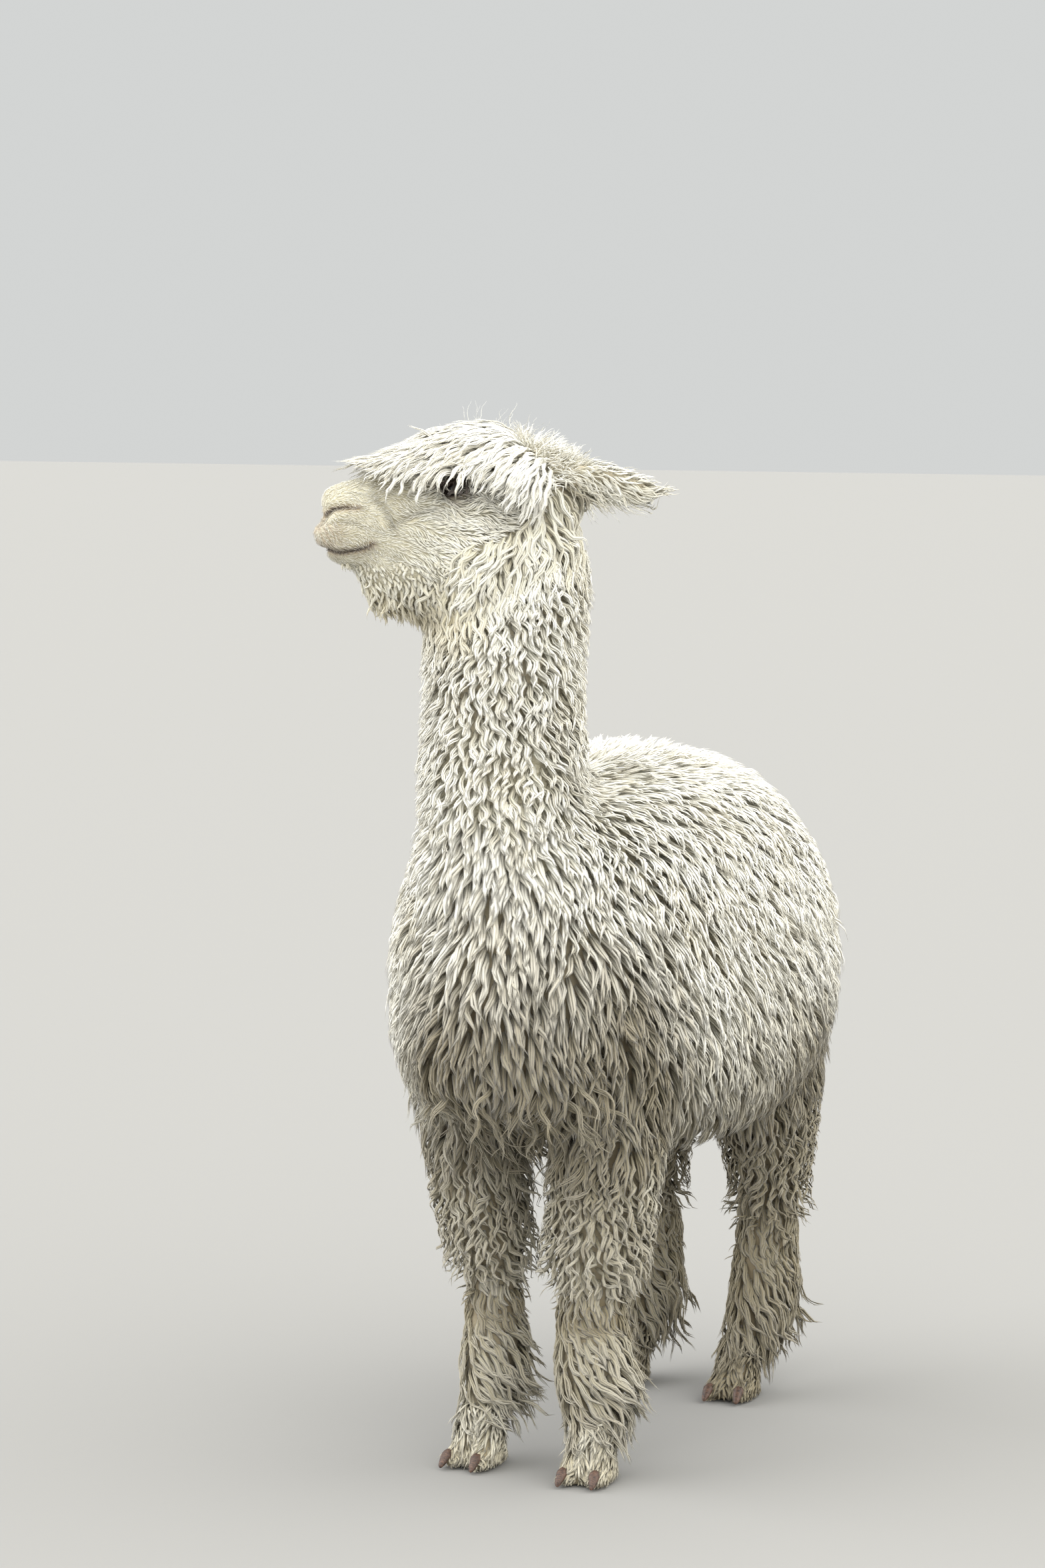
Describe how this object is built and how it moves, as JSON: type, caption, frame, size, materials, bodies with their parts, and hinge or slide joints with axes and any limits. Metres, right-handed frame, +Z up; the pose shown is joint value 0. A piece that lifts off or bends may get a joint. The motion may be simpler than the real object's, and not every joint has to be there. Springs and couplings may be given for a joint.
{
  "type": "alpaca",
  "caption": "Life-size standing alpaca in full cream fleece, its head turned to its right, with a combed topknot, woolly legs and flat-soled feet that rest on the floor.",
  "frame": {"origin": "the middle of the floor area under the whole model, at the height of the soles", "axes": "+Z up; -Y the way the chest faces; +X the animal's left"},
  "size_m": [0.4746, 1.0382, 1.3718],
  "materials": {
    "fleece": "soft cream wool in long wavy locks",
    "face_hair": "very short velvety hair, pinkish at the nostrils",
    "foot_hair": "short greyish-cream hair over padded toes",
    "eye": "wet, near-black and glossy",
    "toenail": "dull brownish horn"
  },
  "bodies": {
    "root": {"trunk": "fleece", "neck": "fleece", "head": "face_hair", "lower_jaw": "face_hair", "topknot": "fleece", "ear_left": "fleece", "ear_right": "fleece", "eye_left": "eye", "eye_right": "eye", "tail": "fleece", "forearm_left": "fleece", "fore_cannon_left": "fleece", "fore_foot_left": "foot_hair", "thigh_left": "fleece", "hind_cannon_left": "fleece", "hind_foot_left": "foot_hair", "forearm_right": "fleece", "fore_cannon_right": "fleece", "fore_foot_right": "foot_hair", "thigh_right": "fleece", "hind_cannon_right": "fleece", "hind_foot_right": "foot_hair", "toenail_fore_left_inner": "toenail", "toenail_fore_left_outer": "toenail", "toenail_fore_right_inner": "toenail", "toenail_fore_right_outer": "toenail", "toenail_hind_left_inner": "toenail", "toenail_hind_left_outer": "toenail", "toenail_hind_right_inner": "toenail", "toenail_hind_right_outer": "toenail"}
  },
  "joints": []
}
